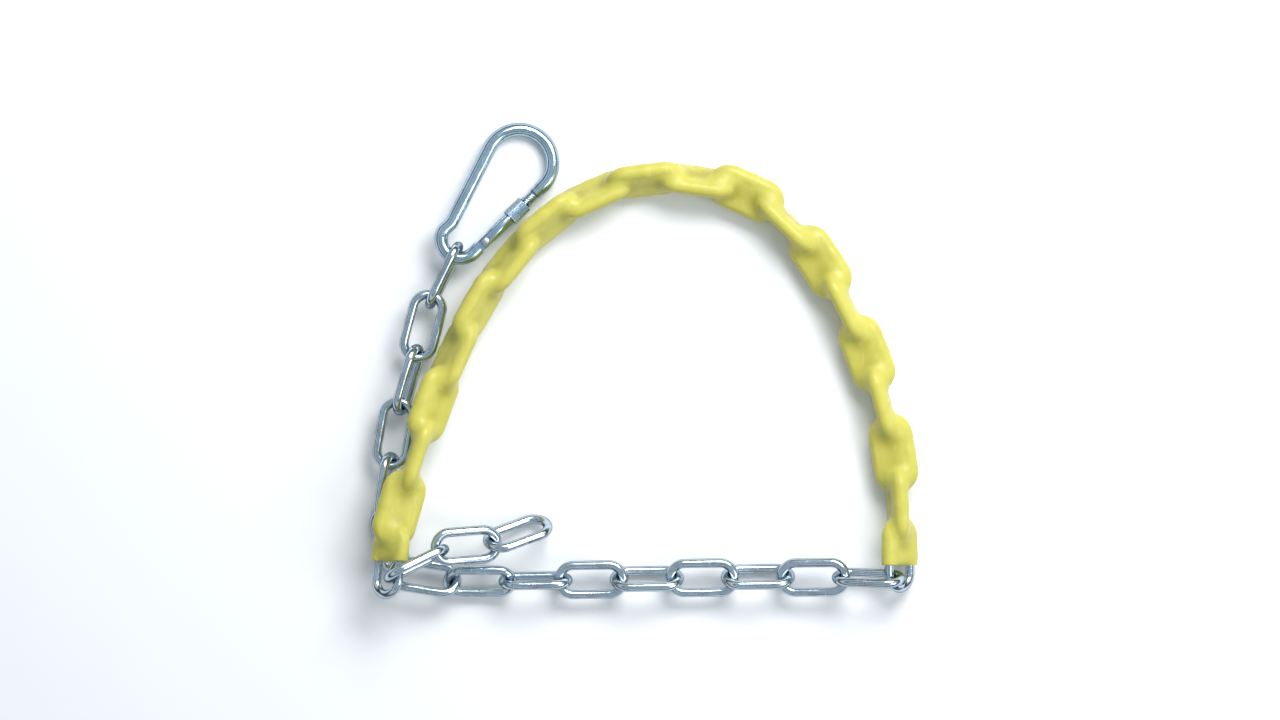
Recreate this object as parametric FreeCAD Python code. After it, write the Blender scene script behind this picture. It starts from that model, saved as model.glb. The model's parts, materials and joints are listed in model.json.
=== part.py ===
"""Hanging chain set of a tree swing, laid out on a flat floor.

One long-link steel chain runs the whole way.  Its middle stretch is held in a
plastic sleeve that saves the branch, one end carries a screw-lock spring hook,
the other end is left free.  Millimetres, +Z up, the floor at z = 0.
"""
import FreeCAD, Part
import math
import os

V = FreeCAD.Vector

# ---- chain ----
WIRE = 6.0                 # wire diameter of a link
LINK_INSIDE = 36.0         # clear length inside a link
LINK_WIDTH = 25.0          # outer width of a link
TOUCH_GAP = 0.35           # running gap between two bows that hang in each other
LEAST_GAP = 0.05           # least gap between the wires of any two bows
ARC_STEPS = 24             # points along a bow when its gap is measured
WELD_LENGTH = 5.0          # upset left by the butt weld in the middle of one leg
WELD_UPSET = 0.25          # how far the weld stands out of the wire

# ---- sleeve ----
SLEEVE_WALL = 1.6
SLEEVE_CLEARANCE = 0.50    # sleeve bore to the links inside
SLACK_RISE = 1.0           # slack left in each bow pair of the rising half of the arch
SLACK_FALL = 3.0           # the same in the falling half
SLEEVE_PAST_FIRST = 1.0    # how far the sleeve reaches past the middle of its first link
SLEEVE_PAST_LAST = 7.6     # and past the middle of its last link

# ---- spring hook ----
HOOK_WIRE = 8.5
HOOK_EYE_OUTER = 16.5      # outer radius of the small end
HOOK_BOW_OUTER = 25.6      # outer radius of the big end
HOOK_CENTRES = 62.8        # from the small end's centre to the big end's
HOOK_JOG = 2.5             # inward step of the spine above the small end
HOOK_TILT = 6.7            # the small end is propped up by the chain, degrees
HOOK_HEADING = 52.5        # direction of the hook on the floor, degrees
HOOK_SEAT_GAP = 0.8        # running gap between the hook's eye and the chain
HOOK_SEAT_ANGLE = 68.0     # where round the small end the chain sits, degrees on the floor
GATE_DIAMETER = 7.8
GATE_START = 8.0           # stations along the gate line, from the small end's tangent point
GATE_PIVOT = 11.0
GATE_LENGTH = 46.5
NOSE_GAP = 0.5             # between the shut gate and the body's nose
NOSE_SEAT = 4.0            # turned-down end of the body that the nut screws over
TONGUE_THICKNESS = 3.0     # flats of the body that sit in the gate's two forks
FORK_CLEARANCE = 0.2       # each side of a tongue
PIN_DIAMETER = 2.6
PIN_CLEARANCE = 0.08
NUT_DIAMETER = 11.4
NUT_LENGTH = 15.5
NUT_CLEARANCE = 0.15       # radial, nut bore to gate
NUT_SETBACK = 7.7          # unscrewed nut ends this far short of the gate's end
SPRING_BORE = 4.4
SPRING_DIAMETER = 3.9
SPRING_WIRE = 0.6
SPRING_LENGTH = 11.0
SPRING_COILS = 7
PLUNGER_LENGTH = 3.2

# ---- worked out ----
BOW_RADIUS = (LINK_WIDTH - WIRE) / 2
HALF_LEG = (LINK_INSIDE + WIRE) / 2 - BOW_RADIUS
PROUD_WALL = SLEEVE_CLEARANCE + SLEEVE_WALL

# Where the first sleeved link lies, then one row per link: heading on the floor,
# climb, and lean about its own length, all in degrees.  Each link hangs in the one before.
FIRST_LINK = V(-162.48, -128.53, 34.54)
FLOOR_PLAY = 0.01          # least height over the floor when another size would sink the set
SLEEVED = [
    (84, -6, -42), (74, -6, 18), (72, -6, -84), (70, -5, 38), (66, -4, -56),
    (60, -3, 56), (51, -2, -56), (39, -2, 56), (24, -1, -56), (7, 0, 56),
    (-8, 0, -60), (-24, 0, 20), (-44, 0, -80), (-57, 0, 16), (-63, 0, -82),
    (-69, 0, 12), (-75, 0, -84), (-81, 0, 12), (-87, 0, 80), (-90, 0, -44),
]
LEAD = [
    (178, -12, 72), (181, -7, -6), (181, 0, 58), (181, 0, -8), (181, 0, 58),
    (181, 0, -7), (181, 0, 74), (180, 0, -40), (171, 2, 30), (106, 2, -42),
    (82, -5, 66), (80, 0, 3), (74, 0, 72), (75, 2, 8), (64, 3, 84),
]
TAIL = [(26, -20, -98), (4, -18, 10), (20, -22, -52)]
RISING = 10                # sleeved links of the rising half

os.makedirs("parts", exist_ok=True)


def save(shape, node):
    shape.exportStep("parts/" + node + ".step")


def axes(heading, climb, lean):
    """Length, width and face directions of a link."""
    h, c, s = (math.radians(a) for a in (heading, climb, lean))
    along = V(math.cos(h) * math.cos(c), math.sin(h) * math.cos(c), math.sin(c))
    left = V(-math.sin(h), math.cos(h), 0)
    up = along.cross(left)
    across = left * math.cos(s) + up * math.sin(s)
    return along, across, along.cross(across)


class Place:
    """Centre and directions of one link."""

    def __init__(self, row, centre=None):
        self.lean = row[2]
        self.along, self.across, self.face = axes(*row)
        self.centre = centre

    def turned(self):
        """The same link looked at from its other end."""
        other = Place((0, 0, self.lean), self.centre)
        other.along, other.across, other.face = -self.along, self.across, self.face
        return other

    def bow(self, sign=1):
        return self.centre + self.along * (sign * HALF_LEG)


def arc_points(centre, outward, across, radius):
    """Points along the middle of a bent wire's half circle."""
    angles = [math.pi * (k / ARC_STEPS - 0.5) for k in range(ARC_STEPS + 1)]
    return [centre + outward * (radius * math.cos(a)) + across * (radius * math.sin(a)) for a in angles]


def nearest(arc, other):
    return min(p.distanceToPoint(q) for p in arc for q in other)


def hang(row, before, slack):
    """Place a link in the far bow of the one before, along the line both planes share.

    A pair whose planes are far from square is slackened until their wires clear."""
    link = Place(row)
    pull = before.face.cross(link.face).normalize()
    if pull.dot(before.along + link.along) < 0:
        pull = -pull
    link.pull = pull
    link.centre = before.bow() + pull * (2 * BOW_RADIUS - WIRE - slack) + link.along * HALF_LEG
    held = arc_points(before.bow(), before.along, before.across, BOW_RADIUS)
    while nearest(held, arc_points(link.bow(-1), -link.along, link.across, BOW_RADIUS)) < WIRE + LEAST_GAP:
        link.centre = link.centre - pull * LEAST_GAP
    return link


def lowest(link):
    """Height of the lowest point of a link's wire."""
    dip = math.hypot(link.along.z, link.across.z) * BOW_RADIUS + abs(link.along.z) * HALF_LEG
    return link.centre.z - dip - WIRE / 2


def walk(rows, before, slack):
    links = []
    for row in rows:
        links.append(hang(row, before, slack))
        before = links[-1]
    return links


def link_solid(place, weld_side=1):
    """A welded link: two legs, two bows, and the weld's upset on one leg."""
    u, w = place.along, place.across
    a, b = place.bow(), place.bow(-1)
    r = w * BOW_RADIUS
    tip_a, tip_b = a + u * BOW_RADIUS, b - u * BOW_RADIUS
    edges = [
        Part.LineSegment(b + r, a + r).toShape(),
        Part.Arc(a + r, tip_a, a - r).toShape(),
        Part.LineSegment(a - r, b - r).toShape(),
        Part.Arc(b - r, tip_b, b + r).toShape(),
    ]
    section = Part.Wire([Part.makeCircle(WIRE / 2, b + r, u)])
    solid = Part.Wire(edges).makePipeShell([section], True, False)
    middle = place.centre + r * weld_side
    weld = Part.makeCylinder(WIRE / 2 + WELD_UPSET, WELD_LENGTH, middle - u * (WELD_LENGTH / 2), u)
    weld = weld.makeChamfer(WELD_UPSET * 0.9, [e for e in weld.Edges if e.Closed])
    return solid.fuse(weld)


# ---- sleeve ----
RIM_POINTS = 28            # points of one outline of the skin
SUPPORT_LINES = 72         # directions in which the skin is held off the links


def arm(link, distance):
    """Half-width of a link's silhouette a distance along from its centre, or None past it."""
    past = abs(distance) - HALF_LEG
    reach = BOW_RADIUS + WIRE / 2
    if past >= reach:
        return None
    return reach if past <= 0 else math.sqrt(reach * reach - past * past)


def rim(point, direction, links, grow):
    """Closed smooth outline of a skin stretched round the links' silhouettes at a point."""
    side = V(0, 0, 1).cross(direction).normalize()
    top = direction.cross(side)
    arms = []
    for link in links:
        run = (point - link.centre).dot(direction) / link.along.dot(direction)
        half = arm(link, run)
        if half:
            offset = link.centre + link.along * run - point
            core = max(half - WIRE / 2, 0)
            arms.append((offset, link.across * core, min(half, WIRE / 2)))
    supports = []
    for k in range(SUPPORT_LINES):
        psi = 2 * math.pi * k / SUPPORT_LINES
        ray = side * math.cos(psi) + top * math.sin(psi)
        reach = max(offset.dot(ray) + abs(core.dot(ray)) + r for offset, core, r in arms)
        supports.append((psi, reach + grow))
    points = []
    for k in range(RIM_POINTS):
        theta = 2 * math.pi * k / RIM_POINTS
        seen = [(reach, math.cos(theta - psi)) for psi, reach in supports]
        radius = min(reach / cosine for reach, cosine in seen if cosine > 0.15)
        points.append(point + (side * math.cos(theta) + top * math.sin(theta)) * radius)
    curve = Part.BSplineCurve()
    curve.interpolate(Points=points, PeriodicFlag=True)
    return Part.Wire([curve.toShape()])


def sleeve_stations(links):
    """Points, directions and crossed links along the sleeve's axis."""
    knots = []
    for a, b in zip(links[:-1], links[1:]):
        knots.append((a.bow() + b.bow(-1)) * 0.5)
    stations = []
    first, last = links[0], links[-1]
    stations.append((first.centre - first.along * SLEEVE_PAST_FIRST, first.along, [first]))
    for k, knot in enumerate(knots):
        a, b = links[k], links[k + 1]
        start = a.centre if k == 0 else (knots[k - 1] + knot) * 0.5
        end = b.centre if k == len(knots) - 1 else (knot + knots[k + 1]) * 0.5
        before, after = (knot - start), (end - knot)
        for share in (0.42, 0.6, 0.8):
            stations.append((start + before * share, a.along, [a, b]))
        stations.append((knot, (a.along + b.along).normalize(), [a, b]))
        for share in (0.2, 0.4, 0.58):
            stations.append((knot + after * share, b.along, [a, b]))
    stations.append((last.centre + last.along * SLEEVE_PAST_LAST, last.along, [last]))
    return stations


def skin_rims(stations, grow):
    return [rim(point, direction, links, grow) for point, direction, links in stations]


def sleeve_solid(links):
    """Outer skin, inner skin and the two cut ends, sewn into one hollow solid."""
    stations = sleeve_stations(links)
    outer = skin_rims(stations, PROUD_WALL)
    inner = skin_rims(stations, SLEEVE_CLEARANCE)
    faces = []
    for rims in (outer, inner):
        for a, b in zip(rims[:-1], rims[1:]):
            faces.append(Part.makeRuledSurface(a.Edges[0], b.Edges[0]))
    for end in (0, -1):
        disc = Part.Face(outer[end])
        faces.append(disc.cut(Part.Face(inner[end])).Faces[0])
    shell = Part.makeShell(faces)
    shell.sewShape()
    solid = Part.Solid(shell)
    if solid.Volume < 0:
        solid.reverse()
    return solid


# ---- spring hook ----
EYE = HOOK_EYE_OUTER - HOOK_WIRE / 2
BOW = HOOK_BOW_OUTER - HOOK_WIRE / 2
SPREAD = math.asin((BOW - EYE) / HOOK_CENTRES)
GATE_END = GATE_START + GATE_LENGTH
NOSE_START = GATE_END + NOSE_GAP
NOSE_END = NOSE_START + NOSE_SEAT
GATE_OUT = V(-math.sin(SPREAD), -math.cos(SPREAD), 0)
GATE_ALONG = V(math.cos(SPREAD), -math.sin(SPREAD), 0)
GATE_FOOT = GATE_OUT * EYE


def on_gate(station):
    return GATE_FOOT + GATE_ALONG * station


def round_point(centre, radius, degrees):
    a = math.radians(degrees)
    return centre + V(math.cos(a), math.sin(a), 0) * radius


def hook_body():
    """Bent wire from the gate's hinge round the eye, up the spine and round the bow."""
    eye, bow = V(0, 0, 0), V(HOOK_CENTRES, 0, 0)
    spread = math.degrees(SPREAD)
    lean = math.degrees(math.asin((BOW - EYE + HOOK_JOG) / HOOK_CENTRES))
    spine_dir = round_point(V(0, 0, 0), 1, lean)
    spine_top = round_point(bow, BOW, 90 + lean)
    eye_end = round_point(eye, EYE, 108)
    spine_foot = spine_top - spine_dir * (HOOK_CENTRES * math.cos(math.radians(lean)) - HOOK_WIRE * 0.95)
    tangent = round_point(V(0, 0, 0), 1, 18)
    jog = Part.BezierCurve()
    jog.setPoles([eye_end, eye_end + tangent * 3.2, spine_foot - spine_dir * 3.2, spine_foot])
    gate_foot, gate_head = on_gate(0), on_gate(NOSE_END)
    bow_start = round_point(bow, BOW, -90 - spread)
    path = Part.Wire([
        Part.LineSegment(on_gate(GATE_START - 3.2), gate_foot).toShape(),
        Part.Arc(gate_foot, round_point(eye, EYE, 188), eye_end).toShape(),
        jog.toShape(),
        Part.LineSegment(spine_foot, spine_top).toShape(),
        Part.Arc(spine_top, round_point(bow, BOW, 0), bow_start).toShape(),
        Part.LineSegment(bow_start, gate_head).toShape(),
    ])
    section = Part.Wire([Part.makeCircle(HOOK_WIRE / 2, on_gate(GATE_START - 3.2), GATE_ALONG)])
    body = path.makePipeShell([section], True, False)
    nose = Part.makeCylinder(GATE_DIAMETER / 2, NOSE_SEAT + 0.5, on_gate(NOSE_START), GATE_ALONG)
    nose = nose.makeChamfer(0.4, [e for e in nose.Edges if e.Closed][:1])
    pivot_flat = tongue(GATE_START - 3.4, GATE_PIVOT + GATE_DIAMETER / 2 - 0.4)
    latch_flat = tongue(GATE_END - 5.4, NOSE_START + 0.5)
    notch = Part.makeBox(PIN_DIAMETER + 0.8, GATE_DIAMETER, GATE_DIAMETER)
    notch.translate(V(-(PIN_DIAMETER + 0.8) / 2, -PIN_DIAMETER / 2 - 0.4, -GATE_DIAMETER / 2))
    notch = set_on_gate(notch, LATCH_PIN)
    hole = cross_pin(GATE_PIVOT, PIN_DIAMETER / 2 + PIN_CLEARANCE, HOOK_WIRE)
    return body.fuse([nose, pivot_flat, latch_flat.cut(notch)]).cut(hole)


LATCH_PIN = GATE_END - 3.2


def set_on_gate(shape, station):
    """Turn a shape built about +X onto the gate line at a station."""
    turned = shape.copy()
    turned.rotate(V(0, 0, 0), V(0, 0, 1), -math.degrees(SPREAD))
    turned.translate(on_gate(station))
    return turned


def tongue(start, end):
    """Flat of the body, as wide as the gate is round, centred on the gate line."""
    width = GATE_DIAMETER - 1.0
    flat = Part.makeBox(end - start, width, TONGUE_THICKNESS, V(0, -width / 2, -TONGUE_THICKNESS / 2))
    flat = flat.makeFillet(1.2, [e for e in flat.Edges if e.BoundBox.ZLength > TONGUE_THICKNESS * 0.9])
    return set_on_gate(flat, start)


def cross_pin(station, radius, length):
    return Part.makeCylinder(radius, length, on_gate(station) - V(0, 0, length / 2), V(0, 0, 1))


FORK = TONGUE_THICKNESS + 2 * FORK_CLEARANCE
FORK_DEPTH = GATE_PIVOT - GATE_START + GATE_DIAMETER / 2 + 0.6
SPRING_START = GATE_START + FORK_DEPTH


def hook_gate():
    gate = Part.makeCylinder(GATE_DIAMETER / 2, GATE_LENGTH, on_gate(GATE_START), GATE_ALONG)
    gate = gate.makeChamfer(0.4, [e for e in gate.Edges if e.Closed])
    hinge_fork = Part.makeBox(FORK_DEPTH + 1, 20, FORK, V(-1, -10, -FORK / 2))
    latch_fork = Part.makeBox(7.0, 20, FORK, V(-6.0, -10, -FORK / 2))
    bore = Part.makeCylinder(SPRING_BORE / 2, SPRING_LENGTH + PLUNGER_LENGTH - 0.6,
                             on_gate(SPRING_START - 0.5), GATE_ALONG)
    holes = [cross_pin(GATE_PIVOT, PIN_DIAMETER / 2, 20), cross_pin(LATCH_PIN, PIN_DIAMETER / 2, 20)]
    return gate.cut([set_on_gate(hinge_fork, GATE_START), set_on_gate(latch_fork, GATE_END), bore] + holes)


def lock_nut():
    start = GATE_END - NUT_SETBACK - NUT_LENGTH
    nut = Part.makeCylinder(NUT_DIAMETER / 2, NUT_LENGTH, on_gate(start), GATE_ALONG)
    nut = nut.makeChamfer(0.6, [e for e in nut.Edges if e.Closed])
    bore = Part.makeCylinder(GATE_DIAMETER / 2 + NUT_CLEARANCE, NUT_LENGTH + 2,
                             on_gate(start - 1), GATE_ALONG)
    return nut.cut(bore)


def gate_plunger():
    radius = SPRING_BORE / 2 - 0.15
    body = Part.makeCylinder(radius, PLUNGER_LENGTH - 0.5, on_gate(SPRING_START + 0.1), GATE_ALONG)
    return body.makeChamfer(0.4, [e for e in body.Edges if e.Closed][:1])


def gate_spring():
    pitch = (SPRING_LENGTH - 2 * SPRING_WIRE) / SPRING_COILS
    coil_radius = (SPRING_DIAMETER - SPRING_WIRE) / 2
    helix = Part.makeHelix(pitch, SPRING_LENGTH - 2 * SPRING_WIRE, coil_radius)
    section = Part.Wire([Part.makeCircle(SPRING_WIRE / 2, V(coil_radius, 0, 0), V(0, 1, 0))])
    coil = Part.Wire(helix.Edges).makePipeShell([section], True, True)
    coil.rotate(V(0, 0, 0), V(0, 1, 0), 90)
    return set_on_gate(coil, SPRING_START + PLUNGER_LENGTH - 0.5 + 0.1 + SPRING_WIRE / 2)


def place_hook(shape, last_link):
    """Hang the hook's small end in the last link's bow and lay its big end down."""
    seat = last_link.bow() + last_link.along * (BOW_RADIUS - WIRE / 2 - HOOK_WIRE / 2 - HOOK_SEAT_GAP)
    a = math.radians(HOOK_SEAT_ANGLE)
    outward = V(-math.cos(a), -math.sin(a), 0)
    held = arc_points(last_link.bow(), last_link.along, last_link.across, BOW_RADIUS)
    clear = (WIRE + HOOK_WIRE) / 2 + LEAST_GAP
    while nearest(held, arc_points(seat - outward * EYE, outward, outward.cross(V(0, 0, 1)), EYE)) < clear:
        seat = seat - last_link.along * LEAST_GAP
    placed = shape.copy()
    placed.rotate(V(0, 0, 0), V(0, 1, 0), HOOK_TILT)
    placed.rotate(V(0, 0, 0), V(0, 0, 1), HOOK_HEADING)
    placed.translate(seat + V(math.cos(a), math.sin(a), 0) * EYE)
    return placed


def main():
    sleeved = [Place(SLEEVED[0], FIRST_LINK)]
    sleeved += walk(SLEEVED[1:RISING], sleeved[0], SLACK_RISE)
    sleeved += walk(SLEEVED[RISING:], sleeved[-1], SLACK_FALL)
    lead = walk(LEAD, sleeved[-1], TOUCH_GAP)
    tail = walk(TAIL, sleeved[0].turned(), TOUCH_GAP)
    sunk = min(lowest(link) for link in sleeved + lead + tail)
    if sunk < FLOOR_PLAY:
        for link in sleeved + lead + tail:
            link.centre = link.centre + V(0, 0, FLOOR_PLAY - sunk)

    for number, link in enumerate(sleeved, 1):
        save(link_solid(link), "sleeved_link_%02d" % number)
    for number, link in enumerate(lead, 1):
        weld_side = -1 if 50 < link.lean < 72 else 1
        save(link_solid(link, weld_side), "lead_link_%02d" % number)
    for number, link in enumerate(tail, 1):
        save(link_solid(link, -1), "tail_link_%d" % number)

    save(sleeve_solid(sleeved), "chain_sleeve")

    pieces = {
        "hook_body": hook_body(),
        "hook_gate": hook_gate(),
        "gate_pivot_pin": cross_pin(GATE_PIVOT, PIN_DIAMETER / 2, GATE_DIAMETER - 0.6),
        "gate_latch_pin": cross_pin(LATCH_PIN, PIN_DIAMETER / 2, GATE_DIAMETER - 0.8),
        "gate_plunger": gate_plunger(),
        "gate_spring": gate_spring(),
        "lock_nut": lock_nut(),
    }
    for node, shape in pieces.items():
        save(place_hook(shape, lead[-1]), node)
    return sleeved, lead, tail


main()
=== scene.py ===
"""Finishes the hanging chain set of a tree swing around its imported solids.

Welded links, a shrunk branch sleeve, a spring hook with its knurled lock nut, and the stage.
Lengths are metres, +Z up, and the floor is at z = 0.
"""

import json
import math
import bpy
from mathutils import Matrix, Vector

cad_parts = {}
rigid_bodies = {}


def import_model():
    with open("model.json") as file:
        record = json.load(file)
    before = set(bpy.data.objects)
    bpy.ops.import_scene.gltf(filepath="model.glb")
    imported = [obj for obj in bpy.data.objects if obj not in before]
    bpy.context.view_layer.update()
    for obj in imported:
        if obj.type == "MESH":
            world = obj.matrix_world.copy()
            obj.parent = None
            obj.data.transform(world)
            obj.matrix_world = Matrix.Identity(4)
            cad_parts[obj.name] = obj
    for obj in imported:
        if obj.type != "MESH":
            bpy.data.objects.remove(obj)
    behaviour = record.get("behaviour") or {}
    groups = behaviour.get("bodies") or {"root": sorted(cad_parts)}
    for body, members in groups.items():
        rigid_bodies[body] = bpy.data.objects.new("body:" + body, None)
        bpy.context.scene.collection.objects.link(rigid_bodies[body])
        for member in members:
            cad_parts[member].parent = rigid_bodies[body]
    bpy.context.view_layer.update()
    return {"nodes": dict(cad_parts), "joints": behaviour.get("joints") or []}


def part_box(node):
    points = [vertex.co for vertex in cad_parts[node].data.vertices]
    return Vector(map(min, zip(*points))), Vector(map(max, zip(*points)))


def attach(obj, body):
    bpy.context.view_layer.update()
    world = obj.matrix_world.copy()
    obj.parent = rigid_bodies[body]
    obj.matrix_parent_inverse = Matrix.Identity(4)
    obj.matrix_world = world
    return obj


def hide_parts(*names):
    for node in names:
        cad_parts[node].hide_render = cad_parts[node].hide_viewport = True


bl_info = {
    "name": "Swing Chain Set",
    "version": (1, 0, 0),
    "blender": (4, 5, 0),
    "location": "View3D > Sidebar > Swing Chain",
    "description": "Finishes a tree swing's hanging chain: links, branch sleeve and spring hook",
    "category": "Object",
}

import bmesh
import bpy
import numpy as np
from bpy.props import FloatProperty, FloatVectorProperty, IntProperty, PointerProperty
from mathutils import Matrix, Vector

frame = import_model()
MM = 0.001
TINY = 1e-6
END_REACH = 25 * MM            # round a sleeve end, what belongs to that end
CUTS_PER_TURN = 6              # cuts along one turn of the gate's thread

BARE_LINKS = (
    [("lead_link_%02d" % n, "lead_%02d" % n) for n in range(1, 16)]
    + [("tail_link_%d" % n, "tail_%d" % n) for n in range(1, 4)]
    + [("sleeved_link_01", "root"), ("sleeved_link_20", "root")]
)
HIDDEN_LINKS = ["sleeved_link_%02d" % n for n in range(2, 20)]
SMALL_STEEL = ("gate_latch_pin", "gate_plunger", "gate_spring")


# ---------------------------------------------------------------- settings

def length(name, description, default):
    return FloatProperty(name=name, description=description, default=default, min=0.0, unit="LENGTH")


def colour(name, description, default):
    return FloatVectorProperty(name=name, description=description, default=default,
                               size=3, min=0.0, max=1.0, subtype="COLOR")


def whole(name, description, default):
    return IntProperty(name=name, description=description, default=default, min=1)


class LinkSettings(bpy.types.PropertyGroup):
    wire: length("Wire", "Diameter of the link's wire", 6.0 * MM)
    bow_radius: length("Bow radius", "From a bow's centre to the middle of the wire", 9.5 * MM)
    half_leg: length("Half leg", "Half of the straight stretch of a leg", 11.5 * MM)
    weld_length: length("Weld length", "Length of the butt weld's collar", 4.6 * MM)
    weld_upset: length("Weld upset", "How far the weld stands out of the wire", 0.25 * MM)
    zinc: colour("Zinc", "Bright zinc plating", (0.58, 0.68, 0.76))
    zinc_dull: colour("Dull zinc", "Plating where it is clouded", (0.46, 0.55, 0.62))
    rubbed: colour("Rubbed steel", "Bows worn by the next link", (0.30, 0.32, 0.33))


class SleeveSettings(bpy.types.PropertyGroup):
    wall: length("Wall", "Thickness of the plastic", 1.5 * MM)
    play: length("Play", "Gap between the steel and the plastic where it bears", 0.4 * MM)
    tension: whole("Tension", "How far the skin bridges as it shrinks", 30)
    shrinks: whole("Shrinks", "Times the skin is drawn over the steel", 3)
    grid: length("Grid", "Mesh size of the skin", 1.45 * MM)
    snug: length("Snug", "Skin to steel where it lies tight", 2.3 * MM)
    slack: length("Slack", "Skin to steel where it bridges widest", 7.5 * MM)
    sag: length("Sag", "How far the skin sinks where it bridges", 0.7 * MM)
    yellow: colour("Yellow", "The plastic's own colour", (0.475, 0.43, 0.050))
    # Hollow shade is painted shade: a dark yellow-green laid into the skin's hollows where shade falls, not
    # grime.
    hollow_shade: colour("Olive", "Grime and shade in the hollows", (0.23, 0.185, 0.005))
    # Tight highlight is a painted highlight: a lighter yellow laid where the skin lies tight over the steel,
    # not stretched plastic.
    tight_highlight: colour("Bleached", "Stretched, lighter plastic", (0.62, 0.585, 0.13))


class HookSettings(bpy.types.PropertyGroup):
    gate: length("Gate", "Diameter of the gate", 7.8 * MM)
    gate_length: length("Gate length", "Length of the gate", 46.5 * MM)
    gate_back: length("Gate back", "Gate's hinge end behind the pivot", 3.0 * MM)
    fork: length("Fork", "Width of the slots for the body's tongues", 3.4 * MM)
    hinge_slot: length("Hinge slot", "Depth of the slot at the hinge", 7.5 * MM)
    latch_slot: length("Latch slot", "Depth of the slot at the latch", 6.0 * MM)
    thread: length("Thread", "Length of the gate's thread", 21.0 * MM)
    pitch: length("Pitch", "Pitch of the thread", 1.5 * MM)
    groove: length("Groove", "Depth of the thread", 0.45 * MM)
    nut: length("Nut", "Diameter of the lock nut over its knurl", 11.4 * MM)
    nut_length: length("Nut length", "Length of the lock nut", 15.5 * MM)
    nut_bore: length("Nut bore", "Diameter of the lock nut's bore", 8.1 * MM)
    knurl: length("Knurl", "Height of the knurl's teeth", 0.5 * MM)
    knurl_teeth: whole("Knurl teeth", "Teeth round the lock nut", 24)
    zinc: colour("Zinc", "Bright zinc plating", (0.51, 0.68, 0.80))
    zinc_pale: colour("Pale zinc", "Plating on the nut's knurl", (0.86, 0.90, 0.92))
    spring: colour("Spring steel", "Bare steel of the pins and spring", (0.42, 0.43, 0.44))


class StageSettings(bpy.types.PropertyGroup):
    floor: colour("Floor", "Colour of the floor", (0.86, 0.87, 0.88))
    camera_height: length("Camera height", "Camera above the floor", 5.0)
    view_width: length("View width", "Width of floor that the camera sees", 0.823)
    view_x: FloatProperty(name="View X", description="Middle of the view", default=-2.4 * MM, unit="LENGTH")
    view_y: FloatProperty(name="View Y", description="Middle of the view", default=0.6 * MM, unit="LENGTH")


# ---------------------------------------------------------------- small helpers

def put_down():
    """Nothing selected, object mode."""
    if bpy.context.object and bpy.context.object.mode != "OBJECT":
        bpy.ops.object.mode_set(mode="OBJECT")
    bpy.ops.object.select_all(action="DESELECT")


def take(piece):
    put_down()
    piece.select_set(True)
    bpy.context.view_layer.objects.active = piece
    return piece


def edit(piece, mode="VERT"):
    take(piece)
    bpy.ops.object.mode_set(mode="EDIT")
    bpy.ops.mesh.select_mode(type=mode)
    bpy.ops.mesh.select_all(action="DESELECT")


def leave_edit():
    bpy.ops.object.mode_set(mode="OBJECT")


def unpicked(piece):
    """The mesh being edited, with nothing selected."""
    bm = bmesh.from_edit_mesh(piece.data)
    for group in (bm.faces, bm.edges, bm.verts):
        for item in group:
            item.select = False
    return bm


def pick_edges(piece, test):
    """Select the edges of the mesh being edited that pass the test."""
    bm = unpicked(piece)
    for edge in bm.edges:
        if test(edge):
            edge.select_set(True)
    bmesh.update_edit_mesh(piece.data)


def pick(piece, test, kind="verts"):
    """Select the vertices, edges or faces of the mesh being edited whose place passes the test."""
    bm = unpicked(piece)
    for item in getattr(bm, kind):
        if kind == "verts":
            chosen = test(item.co)
        elif kind == "edges":
            chosen = all(test(v.co) for v in item.verts)
        else:
            chosen = test(item.calc_center_median(), item.normal)
        if chosen:
            item.select_set(True)
    bmesh.update_edit_mesh(piece.data)


def cut_at(position, direction, **options):
    bpy.ops.mesh.bisect(plane_co=position, plane_no=direction, **options)


def finish_modifier(piece, kind, **values):
    take(piece)
    modifier = piece.modifiers.new(kind.title(), kind)
    for key, value in values.items():
        setattr(modifier, key, value)
    bpy.ops.object.modifier_apply(modifier=modifier.name)


def smooth(piece, degrees=40.0):
    take(piece)
    bpy.ops.object.shade_smooth_by_angle(angle=math.radians(degrees))


def outward(piece):
    edit(piece)
    bpy.ops.mesh.select_all(action="SELECT")
    bpy.ops.mesh.normals_make_consistent(inside=False)
    leave_edit()


def set_place(piece, matrix):
    piece.data.transform(matrix)
    piece.matrix_world = Matrix.Identity(4)


def own_copy(piece, name):
    copy = bpy.data.objects.new(name, piece.data.copy())
    bpy.context.scene.collection.objects.link(copy)
    return copy


def finish_piece(piece, body, slot, material, *nodes):
    piece.data.materials.clear()
    piece.data.materials.append(material)
    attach(piece, body)
    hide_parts(*nodes)


def write_mask(piece, name, values):
    layer = piece.data.attributes.new(name, "FLOAT", "POINT")
    layer.data.foreach_set("value", np.asarray(values, np.float32))


def points_of(piece):
    co = np.zeros(len(piece.data.vertices) * 3)
    piece.data.vertices.foreach_get("co", co)
    return co.reshape(-1, 3)


def ramp(low, high, values):
    share = np.clip((values - low) / (high - low), 0.0, 1.0)
    return share * share * (3.0 - 2.0 * share)


# ---------------------------------------------------------------- where the solids lie

def principal_axes(node):
    """Middle and length, width and thickness directions of a solid, from its surface."""
    mesh = frame["nodes"][node].data
    mesh.calc_loop_triangles()
    corners = np.zeros(len(mesh.loop_triangles) * 3, np.int32)
    mesh.loop_triangles.foreach_get("vertices", corners)
    tri = points_of(frame["nodes"][node])[corners.reshape(-1, 3)]
    area = np.linalg.norm(np.cross(tri[:, 1] - tri[:, 0], tri[:, 2] - tri[:, 0]), axis=1) / 2
    middle = (tri.mean(1) * area[:, None]).sum(0) / area.sum()
    tri = tri - middle
    total = tri.sum(1)
    spread = np.einsum("n,ni,nj->ij", area, total, total)
    spread += np.einsum("n,nki,nkj->ij", area, tri, tri)
    values, directions = np.linalg.eigh(spread)
    return middle, directions[:, 2], directions[:, 1], directions[:, 0]


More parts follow.
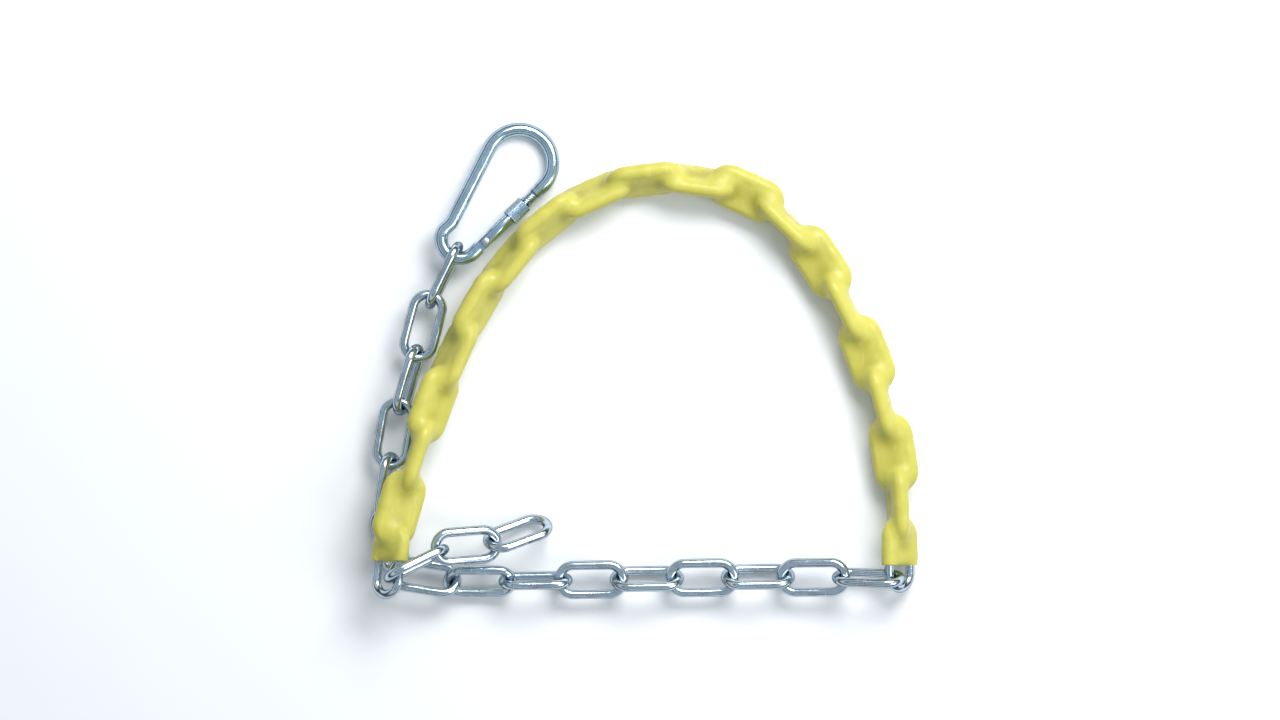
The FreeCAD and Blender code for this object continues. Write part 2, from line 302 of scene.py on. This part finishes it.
def link_place(node):
    """Matrix that carries the master link onto a chain link of the frame, weld to weld."""
    middle, along, across, _ = principal_axes(node)
    local = points_of(frame["nodes"][node]) - middle
    run, side = local @ along, local @ across
    bows = np.abs(run) > 6.0 * MM
    middle = middle + across * (side[bows].max() + side[bows].min()) / 2
    middle = middle + along * (run.max() + run.min()) / 2
    weld = np.abs(run) < 4.0 * MM
    if weld.any() and side[weld].mean() < 0:
        across = -across
    up = np.cross(along, across)
    matrix = Matrix.Identity(4)
    for column, direction in enumerate((along, across, up)):
        for row in range(3):
            matrix[row][column] = direction[row]
    matrix.translation = Vector(middle)
    return matrix


def joint(name):
    return next(j for j in frame["joints"] if j["name"] == name)


def gate_place():
    """Matrix of the gate line: origin at the pivot, X towards the nose, Z out of the hook's plane."""
    nose = -Vector(joint("nut_travel")["axis"]).normalized()
    up = Vector(joint("gate_swing")["axis"]).normalized()
    up = (up - nose * up.dot(nose)).normalized()
    side = up.cross(nose)
    matrix = Matrix((nose, side, up)).transposed().to_4x4()
    matrix.translation = Vector(joint("gate_swing")["pos_m"])
    return matrix


def middle_of(node):
    low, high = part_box(node)
    return (low + high) / 2


# ---------------------------------------------------------------- finishes

def socket(group, name, direction, kind, default=None):
    item = group.interface.new_socket(name=name, in_out=direction, socket_type=kind)
    if default is not None:
        item.default_value = default
    return item


def add(tree, kind, **values):
    node = tree.nodes.new(kind)
    for key, value in values.items():
        setattr(node, key, value)
    return node


def noise(tree, vector, scale, detail, roughness=0.5):
    node = add(tree, "ShaderNodeTexNoise")
    node.inputs["Scale"].default_value = scale
    node.inputs["Detail"].default_value = detail
    node.inputs["Roughness"].default_value = roughness
    tree.links.new(vector, node.inputs["Vector"])
    return node.outputs["Fac"]


def span(tree, value, low, high, to_low=0.0, to_high=1.0):
    node = add(tree, "ShaderNodeMapRange", interpolation_type="SMOOTHSTEP")
    for name, number in (("From Min", low), ("From Max", high), ("To Min", to_low), ("To Max", to_high)):
        node.inputs[name].default_value = number
    tree.links.new(value, node.inputs["Value"])
    return node.outputs["Result"]


def combine(tree, operation, a, b):
    node = add(tree, "ShaderNodeMath", operation=operation)
    for slot, value in zip(node.inputs, (a, b)):
        if isinstance(value, (int, float)):
            slot.default_value = value
        else:
            tree.links.new(value, slot)
    return node.outputs[0]


def mixed(tree, factor, a, b):
    node = add(tree, "ShaderNodeMix", data_type="RGBA")
    for slot, value in ((node.inputs[0], factor), (node.inputs[6], a), (node.inputs[7], b)):
        if isinstance(value, (tuple, list)):
            slot.default_value = (*value, 1.0)
        elif isinstance(value, (int, float)):
            slot.default_value = value
        else:
            tree.links.new(value, slot)
    return node.outputs[2]


def surface_group(name, build):
    """Shader node group with a position input and the outputs that its builder returns."""
    if name in bpy.data.node_groups:
        return bpy.data.node_groups[name]
    group = bpy.data.node_groups.new(name, "ShaderNodeTree")
    socket(group, "Position", "INPUT", "NodeSocketVector")
    socket(group, "Size", "INPUT", "NodeSocketFloat", 1.0)
    entry, leave = add(group, "NodeGroupInput"), add(group, "NodeGroupOutput")
    grown = add(group, "ShaderNodeVectorMath", operation="SCALE")
    group.links.new(entry.outputs["Position"], grown.inputs[0])
    group.links.new(entry.outputs["Size"], grown.inputs["Scale"])
    for label, output in build(group, grown.outputs[0]).items():
        socket(group, label, "OUTPUT", "NodeSocketFloat")
        group.links.new(output, leave.inputs[label])
    return group


def clouding(tree, vector):
    """Slow changes of tone, as in plating and poured plastic."""
    broad = noise(tree, vector, 60.0, 3.0)
    close = noise(tree, vector, 420.0, 4.0, 0.6)
    mask = combine(tree, "MULTIPLY", broad, 0.65)
    mask = combine(tree, "ADD", mask, combine(tree, "MULTIPLY", close, 0.35))
    return {"Clouds": span(tree, mask, 0.38, 0.62), "Close": span(tree, close, 0.35, 0.65)}


def handling(tree, vector):
    """Fine grain, and the scuffs that handling leaves."""
    grain = noise(tree, vector, 2600.0, 3.0, 0.7)
    stretch = add(tree, "ShaderNodeMapping")
    stretch.inputs["Scale"].default_value = (1.0, 0.16, 0.5)
    stretch.inputs["Rotation"].default_value = (0.3, 0.2, 0.7)
    tree.links.new(vector, stretch.inputs["Vector"])
    scuffs = span(tree, noise(tree, stretch.outputs[0], 900.0, 2.0, 0.4), 0.64, 0.74)
    return {"Grain": grain, "Scuffs": scuffs}


def new_material(name):
    material = bpy.data.materials.new(name)
    material.use_nodes = True
    tree = material.node_tree
    shader = tree.nodes["Principled BSDF"]
    place = add(tree, "ShaderNodeTexCoord").outputs["Object"]
    return material, tree, shader, place


def use_group(tree, name, build, place, size=1.0):
    node = add(tree, "ShaderNodeGroup", node_tree=surface_group(name, build))
    tree.links.new(place, node.inputs["Position"])
    node.inputs["Size"].default_value = size
    return node.outputs


def mask_of(tree, name):
    return add(tree, "ShaderNodeAttribute", attribute_name=name).outputs["Fac"]


def bump(tree, shader, height, strength, distance):
    node = add(tree, "ShaderNodeBump")
    node.inputs["Strength"].default_value = strength
    node.inputs["Distance"].default_value = distance
    tree.links.new(height, node.inputs["Height"])
    tree.links.new(node.outputs["Normal"], shader.inputs["Normal"])


def zinc_finish(name, bright, dull, rubbed, gloss=0.10):
    """Bright zinc plating: clouded, scuffed, dulled at the weld and rubbed where links bear."""
    material, tree, shader, place = new_material(name)
    clouds = use_group(tree, "Clouding", clouding, place)
    marks = use_group(tree, "Handling", handling, place)
    weld, rub = mask_of(tree, "weld"), mask_of(tree, "rub")
    tone = mixed(tree, clouds["Clouds"], tuple(bright), tuple(dull))
    tone = mixed(tree, combine(tree, "MULTIPLY", weld, 0.55), tone, (0.36, 0.37, 0.40))
    tone = mixed(tree, combine(tree, "MULTIPLY", rub, clouds["Close"]), tone, tuple(rubbed))
    tone = mixed(tree, combine(tree, "MULTIPLY", marks["Scuffs"], 0.35), tone, (0.80, 0.84, 0.88))
    tree.links.new(tone, shader.inputs["Base Color"])
    rough = span(tree, clouds["Close"], 0.0, 1.0, gloss, gloss + 0.10)
    rough = combine(tree, "ADD", rough, combine(tree, "MULTIPLY", weld, 0.14))
    rough = combine(tree, "ADD", rough, combine(tree, "MULTIPLY", rub, 0.10))
    rough = combine(tree, "ADD", rough, combine(tree, "MULTIPLY", marks["Scuffs"], 0.12))
    tree.links.new(rough, shader.inputs["Roughness"])
    shader.inputs["Metallic"].default_value = 1.0
    shader.inputs["Specular Tint"].default_value = (0.10, 0.16, 0.22, 1.0)
    height = combine(tree, "ADD", clouds["Clouds"], combine(tree, "MULTIPLY", marks["Grain"], 0.25))
    bump(tree, shader, height, 0.25, 0.12 * MM)
    return material


def spring_finish(name, steel):
    """Bare drawn steel with a little oil on it."""
    material, tree, shader, place = new_material(name)
    marks = use_group(tree, "Handling", handling, place)
    tone = mixed(tree, marks["Grain"], tuple(c * 0.8 for c in steel), tuple(steel))
    tree.links.new(tone, shader.inputs["Base Color"])
    tree.links.new(span(tree, marks["Grain"], 0.2, 0.8, 0.28, 0.42), shader.inputs["Roughness"])
    shader.inputs["Metallic"].default_value = 1.0
    bump(tree, shader, marks["Grain"], 0.15, 0.05 * MM)
    return material


def sleeve_finish(name, yellow, tight_highlight, hollow_shade):
    """Satin soft plastic, with a painted highlight where it is drawn tight over the steel and painted shade
    in its hollows.
    """
    material, tree, shader, place = new_material(name)
    clouds = use_group(tree, "Clouding", clouding, place, 0.55)
    marks = use_group(tree, "Handling", handling, place, 0.6)
    tight, hollow = mask_of(tree, "tight"), mask_of(tree, "hollow")
    tone = mixed(tree, combine(tree, "MULTIPLY", clouds["Clouds"], 0.8), tuple(yellow),
                 tuple(c * 0.74 for c in yellow))
    # Painted highlight: the tight mask lightens the skin where it lies over the steel.
    tone = mixed(tree, combine(tree, "MULTIPLY", tight, 0.55), tone, tuple(tight_highlight))
    # Painted shade: the hollow mask darkens the skin in its dents.
    tone = mixed(tree, combine(tree, "MULTIPLY", hollow, 1.0), tone, tuple(hollow_shade))
    tone = mixed(tree, combine(tree, "MULTIPLY", marks["Scuffs"], 0.10), tone, (0.86, 0.84, 0.52))
    tree.links.new(tone, shader.inputs["Base Color"])
    rough = span(tree, clouds["Close"], 0.0, 1.0, 0.34, 0.46)
    rough = combine(tree, "ADD", rough, combine(tree, "MULTIPLY", marks["Scuffs"], 0.12))
    tree.links.new(rough, shader.inputs["Roughness"])
    shader.inputs["Specular IOR Level"].default_value = 0.35
    shader.inputs["Subsurface Weight"].default_value = 0.12
    shader.inputs["Subsurface Radius"].default_value = (1.0, 0.85, 0.2)
    shader.inputs["Subsurface Scale"].default_value = 1.5 * MM
    height = combine(tree, "ADD", clouds["Clouds"], combine(tree, "MULTIPLY", marks["Grain"], 0.10))
    bump(tree, shader, height, 0.22, 0.35 * MM)
    return material


def link_zinc():
    s = bpy.context.scene.chain_links
    return bpy.data.materials.get("zinc_links") or zinc_finish("zinc_links", s.zinc, s.zinc_dull, s.rubbed)


def hook_zinc():
    s = bpy.context.scene.spring_hook
    dull = tuple(c * 0.82 for c in s.zinc)
    worn = (0.4, 0.4, 0.4)
    return bpy.data.materials.get("zinc_hook") or zinc_finish("zinc_hook", s.zinc, dull, worn, 0.08)


def knurl_zinc():
    s = bpy.context.scene.spring_hook
    worn = (0.4, 0.4, 0.4)
    return bpy.data.materials.get("zinc_knurl") or zinc_finish("zinc_knurl", s.zinc_pale, s.zinc, worn, 0.20)


def spring_steel():
    s = bpy.context.scene.spring_hook
    return bpy.data.materials.get("spring_steel") or spring_finish("spring_steel", s.spring)


def paint_node(node, material, degrees=30.0):
    piece = frame["nodes"][node]
    smooth(piece, degrees)
    piece.data.materials.clear()
    piece.data.materials.append(material)


# ---------------------------------------------------------------- pieces

class CHAIN_OT_links(bpy.types.Operator):
    """Model one welded link and hang a copy of it in each place of the bare chain"""
    bl_idname = "swing_chain.links"
    bl_label = "Chain Links"

    def master(self, s):
        put_down()
        bpy.ops.mesh.primitive_torus_add(major_radius=s.bow_radius, minor_radius=s.wire / 2,
                                         major_segments=40, minor_segments=22)
        link = bpy.context.object
        edit(link)
        guard = 0.2 * MM
        for side in (-guard, guard):
            bpy.ops.mesh.select_all(action="SELECT")
            cut_at((side, 0, 0), (1, 0, 0))
        for side in (-1, 1):
            pick(link, lambda co: co.x * side > guard / 2)
            bpy.ops.transform.translate(value=(side * (s.half_leg - guard), 0, 0))
        edge = s.weld_length / 2
        for station in (edge + 0.5 * MM, edge, edge - 0.4 * MM, 0.55 * MM, 0.25 * MM):
            for side in (-station, station):
                pick(link, lambda co: abs(co.x) < s.half_leg + TINY)
                cut_at((side, 0, 0), (1, 0, 0))
        swell = {edge: 0.3, edge - 0.4 * MM: 0.85, 0.55 * MM: 1.0, 0.25 * MM: 0.6, 0.0: -1.0}
        for station, share in swell.items():
            grown = 1 + share * s.weld_upset / (s.wire / 2)
            pick(link, lambda co: co.y > 0 and abs(abs(co.x) - station) < TINY * 20)
            bpy.ops.transform.resize(value=(1, grown, grown), center_override=(0, s.bow_radius, 0))
        leave_edit()
        finish_modifier(link, "SUBSURF", levels=1, render_levels=1)
        smooth(link, 60.0)
        return link

    def masks(self, link, s):
        co = points_of(link)
        run, side = np.abs(co[:, 0]), co[:, 1]
        weld = (1 - ramp(0.35 * s.weld_length, 0.95 * s.weld_length, run)) * (side > 0)
        from_bow = np.hypot(np.maximum(run - s.half_leg, 0), side)
        inner = 1 - ramp(s.bow_radius - s.wire / 2, s.bow_radius - s.wire / 6, from_bow)
        rub = inner * ramp(s.half_leg + s.wire * 0.6, s.half_leg + s.wire * 1.1, run)
        write_mask(link, "weld", weld)
        write_mask(link, "rub", rub)

    def execute(self, context):
        s = context.scene.chain_links
        link = self.master(s)
        self.masks(link, s)
        for node, body in BARE_LINKS:
            piece = own_copy(link, node.replace("link", "welded_link"))
            set_place(piece, link_place(node))
            finish_piece(piece, body, "zinc_steel", link_zinc(), node)
        bpy.data.objects.remove(link)
        for node in HIDDEN_LINKS:
            paint_node(node, link_zinc())
        return {"FINISHED"}


class CHAIN_OT_sleeve(bpy.types.Operator):
    """Shrink the plastic sleeve onto the chain inside it"""
    bl_idname = "swing_chain.sleeve"
    bl_label = "Branch Sleeve"

    def end_planes(self):
        """Middle and outward direction of the sleeve's two cut ends."""
        skin = points_of(frame["nodes"]["chain_sleeve"])
        planes = []
        for node, inner in (("sleeved_link_01", "sleeved_link_02"), ("sleeved_link_20", "sleeved_link_19")):
            middle, along, _, _ = principal_axes(node)
            if (np.array(middle_of(inner)) - middle) @ along > 0:
                along = -along
            near = skin[np.linalg.norm(skin - middle, axis=1) < END_REACH]
            reach = ((near - middle) @ along).max()
            planes.append((Vector(middle + along * reach), Vector(along)))
        return planes

    def outer_skin(self, planes):
        """The sleeve's outside alone, closed at both ends, on an even grid."""
        skin = own_copy(frame["nodes"]["chain_sleeve"], "branch_sleeve")
        edit(skin, "FACE")
        bpy.ops.mesh.select_all(action="SELECT")
        bpy.ops.mesh.remove_doubles(threshold=0.005 * MM)

        def on_cut(co, normal):
            return any(abs((co - at).dot(out)) < 0.05 * MM and (co - at).length < END_REACH
                       and abs(normal.dot(out)) > 0.9 for at, out in planes)
        pick(skin, on_cut, "faces")
        bpy.ops.mesh.delete(type="FACE")
        bpy.ops.mesh.select_mode(type="VERT")
        corner = max((v.co.copy() for v in bmesh.from_edit_mesh(skin.data).verts), key=lambda co: co.x)
        pick(skin, lambda co: (co - corner).length < TINY)
        bpy.ops.mesh.select_linked()
        bpy.ops.mesh.select_all(action="INVERT")
        bpy.ops.mesh.delete(type="VERT")
        bpy.ops.mesh.select_all(action="SELECT")
        bpy.ops.mesh.fill_holes(sides=0)
        bpy.ops.mesh.select_all(action="SELECT")
        bpy.ops.mesh.normals_make_consistent(inside=False)
        leave_edit()
        grid = bpy.context.scene.branch_sleeve.grid
        finish_modifier(skin, "REMESH", mode="VOXEL", voxel_size=grid)
        finish_modifier(skin, "SMOOTH", factor=0.5, iterations=4)
        return skin

    def steel_inside(self):
        put_down()
        copies = [own_copy(frame["nodes"]["sleeved_link_%02d" % n], "steel_%02d" % n) for n in range(1, 21)]
        for copy in copies:
            copy.select_set(True)
        bpy.context.view_layer.objects.active = copies[0]
        bpy.ops.object.join()
        return bpy.context.object

    def execute(self, context):
        s = context.scene.branch_sleeve
        planes = self.end_planes()
        skin = self.outer_skin(planes)
        steel = self.steel_inside()
        bridged = skin.vertex_groups.new(name="bridged")
        bridged.add(range(len(skin.data.vertices)), 1.0, "REPLACE")
        finish_modifier(skin, "VERTEX_WEIGHT_PROXIMITY", vertex_group="bridged", target=steel,
                        proximity_mode="GEOMETRY", proximity_geometry={"FACE"},
                        min_dist=s.snug, max_dist=s.slack)
        finish_modifier(skin, "DISPLACE", vertex_group="bridged", mid_level=0.0, strength=-s.sag)
        for _ in range(s.shrinks):
            finish_modifier(skin, "SMOOTH", factor=0.5, iterations=s.tension)
            finish_modifier(skin, "SHRINKWRAP", target=steel, wrap_method="NEAREST_SURFACEPOINT",
                            wrap_mode="OUTSIDE", offset=s.wall + s.play)
        finish_modifier(skin, "SMOOTH", factor=0.5, iterations=2)
        edit(skin)
        for at, out in planes:
            pick(skin, lambda co: (co - at).length < END_REACH)
            cut_at(at - out * 0.8 * MM, out, clear_outer=True)
        leave_edit()
        self.masks(skin, bridged)
        bpy.data.objects.remove(steel)
        finish_modifier(skin, "SOLIDIFY", thickness=s.wall, offset=-1.0, use_even_offset=False)
        smooth(skin, 50.0)
        material = sleeve_finish("sleeve_plastic", s.yellow, s.tight_highlight, s.hollow_shade)
        finish_piece(skin, "root", "sleeve_plastic", material, "chain_sleeve")
        return {"FINISHED"}

    def masks(self, skin, bridged):
        """Where the skin is drawn tight over the steel, and where it sinks in a hollow."""
        mesh = skin.data
        count = len(mesh.vertices)
        free = np.zeros(count)
        for v in mesh.vertices:
            for g in v.groups:
                if g.group == bridged.index:
                    free[v.index] = g.weight
        ends = np.zeros(len(mesh.edges) * 2, np.int32)
        mesh.edges.foreach_get("vertices", ends)
        a, b = ends.reshape(-1, 2).T
        normals = np.zeros(count * 3)
        mesh.vertices.foreach_get("normal", normals)
        normals = normals.reshape(-1, 3)
        co = points_of(skin)
        near = np.bincount(a, minlength=count) + np.bincount(b, minlength=count)

        def spread(values):
            total = np.bincount(a, values[b], count) + np.bincount(b, values[a], count)
            return total / np.maximum(near, 1)
        wide = co.copy()
        for _ in range(10):
            wide = np.stack([spread(wide[:, k]) for k in range(3)], axis=1)
        dent = ((wide - co) * normals).sum(1)
        for _ in range(3):
            dent = 0.5 * dent + 0.5 * spread(dent)
        # The hollow mask steers the painted shade in the skin's dents.
        write_mask(skin, "hollow", ramp(0.0, 0.4 * MM, dent))
        # The tight mask steers the painted highlight where the skin lies over the steel.
        write_mask(skin, "tight", 1 - ramp(0.0, 0.35, free))
        skin.vertex_groups.clear()


class CHAIN_OT_lock_nut(bpy.types.Operator):
    """Model the knurled lock nut on the gate"""
    bl_idname = "swing_chain.lock_nut"
    bl_label = "Lock Nut"

    def execute(self, context):
        s = context.scene.spring_hook
        band = s.nut_length - 2.4 * MM
        core = s.nut / 2 - s.knurl
        put_down()
        bpy.ops.mesh.primitive_cylinder_add(vertices=s.knurl_teeth, radius=core, depth=band,
                                            end_fill_type="NOTHING", rotation=(0, math.pi / 2, 0))
        nut = bpy.context.object
        nut.name = "knurled_nut"
        set_place(nut, nut.matrix_world.copy())
        edit(nut)
        rows = round(band / (math.tau * core / s.knurl_teeth))
        for row in range(1, rows):
            bpy.ops.mesh.select_all(action="SELECT")
            cut_at((-band / 2 + band * row / rows, 0, 0), (1, 0, 0))
        bpy.ops.mesh.select_all(action="SELECT")
        bpy.ops.mesh.normals_make_consistent(inside=False)
        bpy.ops.mesh.poke(offset=0.0)
        grid = [band * (row / rows - 0.5) for row in range(rows + 1)]

        def on_grid(co):
            return min(abs(co.x - g) for g in grid) < TINY * 5
        pick_edges(nut, lambda e: all(on_grid(v.co) for v in e.verts) and not e.is_boundary)
        bpy.ops.mesh.select_mode(type="EDGE")
        bpy.ops.mesh.dissolve_edges(use_verts=False)
        bpy.ops.mesh.select_mode(type="FACE")
        pick(nut, lambda co, normal: abs(co.x) < band / 2 - 0.15 * MM, "faces")
        bpy.ops.mesh.poke(offset=s.knurl)
        bpy.ops.mesh.select_mode(type="VERT")
        self.close_end(nut, s, band, core, -1)
        self.close_end(nut, s, band, core, 1)
        bpy.ops.mesh.select_mode(type="EDGE")
        pick_edges(nut, lambda e: e.is_boundary)
        bpy.ops.mesh.bridge_edge_loops()
        leave_edit()
        outward(nut)
        smooth(nut, 18.0)
        matrix = gate_place()
        matrix.translation = middle_of("lock_nut")
        set_place(nut, matrix)
        finish_piece(nut, "nut", "hook_steel", knurl_zinc(), "lock_nut")
        return {"FINISHED"}

    def close_end(self, nut, s, band, core, side):
        """Plain collar, chamfer and end face, down to the bore."""
        steps = (
            (core, (s.nut / 2 - 0.1 * MM), 0.0),
            (s.nut / 2 - 0.1 * MM, s.nut / 2 - 0.1 * MM, 0.6 * MM),
            (s.nut / 2 - 0.1 * MM, s.nut / 2 - 0.7 * MM, 0.6 * MM),
            (s.nut / 2 - 0.7 * MM, s.nut_bore / 2 + 0.3 * MM, 0.0),
            (s.nut_bore / 2 + 0.3 * MM, s.nut_bore / 2, -0.3 * MM),
        )
        pick(nut, lambda co: abs(co.x - side * band / 2) < TINY * 5)
        for before, after, step in steps:
            bpy.ops.mesh.extrude_region_move(TRANSFORM_OT_translate={"value": (side * step, 0, 0)})
            bpy.ops.transform.resize(value=(1, after / before, after / before), center_override=(0, 0, 0))


class CHAIN_OT_gate(bpy.types.Operator):
    """Model the gate with its thread, slots and rivet"""
    bl_idname = "swing_chain.gate"
    bl_label = "Hook Gate"

    def threaded_bar(self, name, radius, start, end, thread_from, s):
        """Bar along X whose surface carries a screw thread from a station to its end."""
        put_down()
        bpy.ops.mesh.primitive_cylinder_add(vertices=36, radius=radius, depth=end - start,
                                            rotation=(0, math.pi / 2, 0), location=((start + end) / 2, 0, 0))
        bar = bpy.context.object
        bar.name = name
        set_place(bar, bar.matrix_world.copy())
        edit(bar, "EDGE")
        for rim in (start, end):
            pick(bar, lambda co: abs(co.x - rim) < TINY, "edges")
            bpy.ops.mesh.bevel(offset=0.45 * MM, segments=2, affect="EDGES")
        step = s.pitch / CUTS_PER_TURN
        station = thread_from
        while station < end - 0.6 * MM:
            bpy.ops.mesh.select_all(action="SELECT")
            cut_at((station, 0, 0), (1, 0, 0))
            station += step
        leave_edit()
        for v in bar.data.vertices:
            reach = math.hypot(v.co.y, v.co.z)
            if v.co.x > thread_from + TINY and reach > radius * 0.85:
                turn = (v.co.x - thread_from) / s.pitch - math.atan2(v.co.z, v.co.y) / math.tau
                depth = s.groove * abs((turn % 1.0) * 2 - 1)
                lead_in = min(1.0, (v.co.x - thread_from) / s.pitch)
                share = (reach - depth * lead_in) / reach
                v.co.y *= share
                v.co.z *= share
        return bar

    def slot_box(self, low, high, width):
        put_down()
        bpy.ops.mesh.primitive_cube_add(size=1.0, location=((low + high) / 2, 0, 0))
        box = bpy.context.object
        box.scale = (high - low, 0.03, width)
        set_place(box, Matrix.LocRotScale(box.location, None, box.scale))
        return box

    def rivet(self, name, place, radius, half, head):
        """Headed pin across the gate."""
        put_down()
        bpy.ops.mesh.primitive_cylinder_add(vertices=24, radius=radius, depth=2 * half, location=(0, 0, 0))
        pin = bpy.context.object
        pin.name = name
        edit(pin, "FACE")
        for side in (-1, 1):
            pick(pin, lambda co, normal: normal.z * side > 0.9, "faces")
            bpy.ops.mesh.extrude_region_move(TRANSFORM_OT_translate={"value": (0, 0, side * head * 0.1)})
            bpy.ops.transform.resize(value=(1.35, 1.35, 1), center_override=(0, 0, 0))
            for grow, rise in ((1.0, 0.35), (0.82, 0.3), (0.5, 0.25)):
                bpy.ops.mesh.extrude_region_move(TRANSFORM_OT_translate={"value": (0, 0, side * head * rise)})
                bpy.ops.transform.resize(value=(grow, grow, 1), center_override=(0, 0, 0))
        leave_edit()
        smooth(pin, 50.0)
        set_place(pin, place)
        return pin

    def execute(self, context):
        s = context.scene.spring_hook
        start = -s.gate_back
        end = start + s.gate_length
        gate = self.threaded_bar("threaded_gate", s.gate / 2, start, end, end - s.thread, s)
        for low, high in ((start - 1 * MM, start + s.hinge_slot), (end - s.latch_slot, end + 1 * MM)):
            box = self.slot_box(low, high, s.fork)
            finish_modifier(gate, "BOOLEAN", operation="DIFFERENCE", solver="EXACT", object=box)
            bpy.data.objects.remove(box)
        smooth(gate, 35.0)
        place = gate_place()
        set_place(gate, place)
        finish_piece(gate, "gate", "hook_steel", hook_zinc(), "hook_gate")
        rivet = self.rivet("hinge_rivet", place, 1.3 * MM, s.gate / 2 - 0.25 * MM, 0.5 * MM)
        finish_piece(rivet, "gate", "spring_steel", spring_steel(), "gate_pivot_pin")
        return {"FINISHED"}


class CHAIN_OT_hook_body(bpy.types.Operator):
    """Finish the bent wire of the hook and its small steel parts"""
    bl_idname = "swing_chain.hook_body"
    bl_label = "Hook Body"

    def execute(self, context):
        paint_node("hook_body", hook_zinc(), 35.0)
        for node in SMALL_STEEL:
            paint_node(node, spring_steel())
        return {"FINISHED"}


class CHAIN_OT_stage(bpy.types.Operator):
    """Lay the floor, hang the lights and set the camera"""
    bl_idname = "swing_chain.stage"
    bl_label = "Stage"

    # the studio's brightness from the horizon up to overhead: soft boxes with dark gaps between them
    BELOW = (0.30, 0.36, 0.44, 1)
    BANDS = (
        (0.22, (0.03, 0.05, 0.09, 1)),
        (0.45, (1.5, 1.55, 1.6, 1)),
        (0.72, (1.7, 1.75, 1.8, 1)),
        (0.82, (0.05, 0.10, 0.18, 1)),
        (0.91, (1.5, 1.7, 1.85, 1)),
    )
    OVERHEAD = (0.62, 0.88, 1.1, 1)
    SKY_STRENGTH = 0.42

    def softbox(self, name, place, size, power, tint=(1.0, 1.0, 1.0)):
        light = bpy.data.lights.new(name, "AREA")
        light.shape, light.size, light.size_y = "RECTANGLE", size[0], size[1]
        light.energy, light.color = power, tint
        lamp = bpy.data.objects.new(name, light)
        lamp.location = place
        lamp.rotation_euler = Vector(place).to_track_quat("Z", "Y").to_euler()
        bpy.context.scene.collection.objects.link(lamp)

    def sky(self):
        world = bpy.data.worlds.new("studio")
        bpy.context.scene.world = world
        world.use_nodes = True
        tree = world.node_tree
        place = add(tree, "ShaderNodeTexCoord").outputs["Generated"]
        parts = add(tree, "ShaderNodeSeparateXYZ")
        tree.links.new(place, parts.inputs[0])
        bands = add(tree, "ShaderNodeValToRGB")
        first, last = bands.color_ramp.elements
        first.color, last.color = self.BELOW, self.OVERHEAD
        for at, tone in self.BANDS:
            band = bands.color_ramp.elements.new(at)
            band.color = tone
        tree.links.new(parts.outputs["Z"], bands.inputs[0])
        tree.links.new(bands.outputs[0], tree.nodes["Background"].inputs["Color"])
        tree.nodes["Background"].inputs["Strength"].default_value = self.SKY_STRENGTH

    def execute(self, context):
        s = context.scene.chain_stage
        put_down()
        bpy.ops.mesh.primitive_plane_add(size=8.0)
        floor = bpy.context.object
        floor.name = "floor"
        material, tree, shader, place = new_material("floor")
        speck = noise(tree, place, 30.0, 2.0)
        tone = mixed(tree, speck, tuple(s.floor), tuple(c * 0.985 for c in s.floor))
        tree.links.new(tone, shader.inputs["Base Color"])
        shader.inputs["Roughness"].default_value = 0.7
        floor.data.materials.append(material)
        self.sky()
        self.softbox("key", (0.45, 0.85, 1.10), (1.0, 0.7), 24.0)
        self.softbox("fill", (1.3, -0.5, 1.2), (0.6, 1.0), 9.0, (0.95, 0.98, 1.0))
        lens = bpy.data.cameras.new("camera")
        lens.lens = lens.sensor_width * s.camera_height / s.view_width
        camera = bpy.data.objects.new("camera", lens)
        camera.location = (s.view_x, s.view_y, s.camera_height)
        lens.clip_end = 50.0
        context.scene.collection.objects.link(camera)
        context.scene.camera = camera
        context.scene.view_settings.view_transform = "Standard"
        return {"FINISHED"}


class CHAIN_PT_panel(bpy.types.Panel):
    """Lists the pieces of the chain set"""
    bl_label = "Swing Chain"
    bl_idname = "CHAIN_PT_panel"
    bl_space_type = "VIEW_3D"
    bl_region_type = "UI"
    bl_category = "Swing Chain"

    def draw(self, context):
        for operator in PIECES:
            self.layout.operator(operator.bl_idname)


PIECES = (
    CHAIN_OT_links,
    CHAIN_OT_sleeve,
    CHAIN_OT_hook_body,
    CHAIN_OT_gate,
    CHAIN_OT_lock_nut,
    CHAIN_OT_stage,
)
SETTINGS = {
    "chain_links": LinkSettings,
    "branch_sleeve": SleeveSettings,
    "spring_hook": HookSettings,
    "chain_stage": StageSettings,
}


def register():
    for name, group in SETTINGS.items():
        bpy.utils.register_class(group)
        setattr(bpy.types.Scene, name, PointerProperty(type=group))
    for cls in (*PIECES, CHAIN_PT_panel):
        bpy.utils.register_class(cls)


def unregister():
    for cls in reversed((*PIECES, CHAIN_PT_panel)):
        bpy.utils.unregister_class(cls)
    for name, group in SETTINGS.items():
        delattr(bpy.types.Scene, name)
        bpy.utils.unregister_class(group)


def main():
    register()
    bpy.ops.swing_chain.links()
    bpy.ops.swing_chain.sleeve()
    bpy.ops.swing_chain.hook_body()
    bpy.ops.swing_chain.gate()
    bpy.ops.swing_chain.lock_nut()
    bpy.ops.swing_chain.stage()
    put_down()


if __name__ == "__main__":
    main()
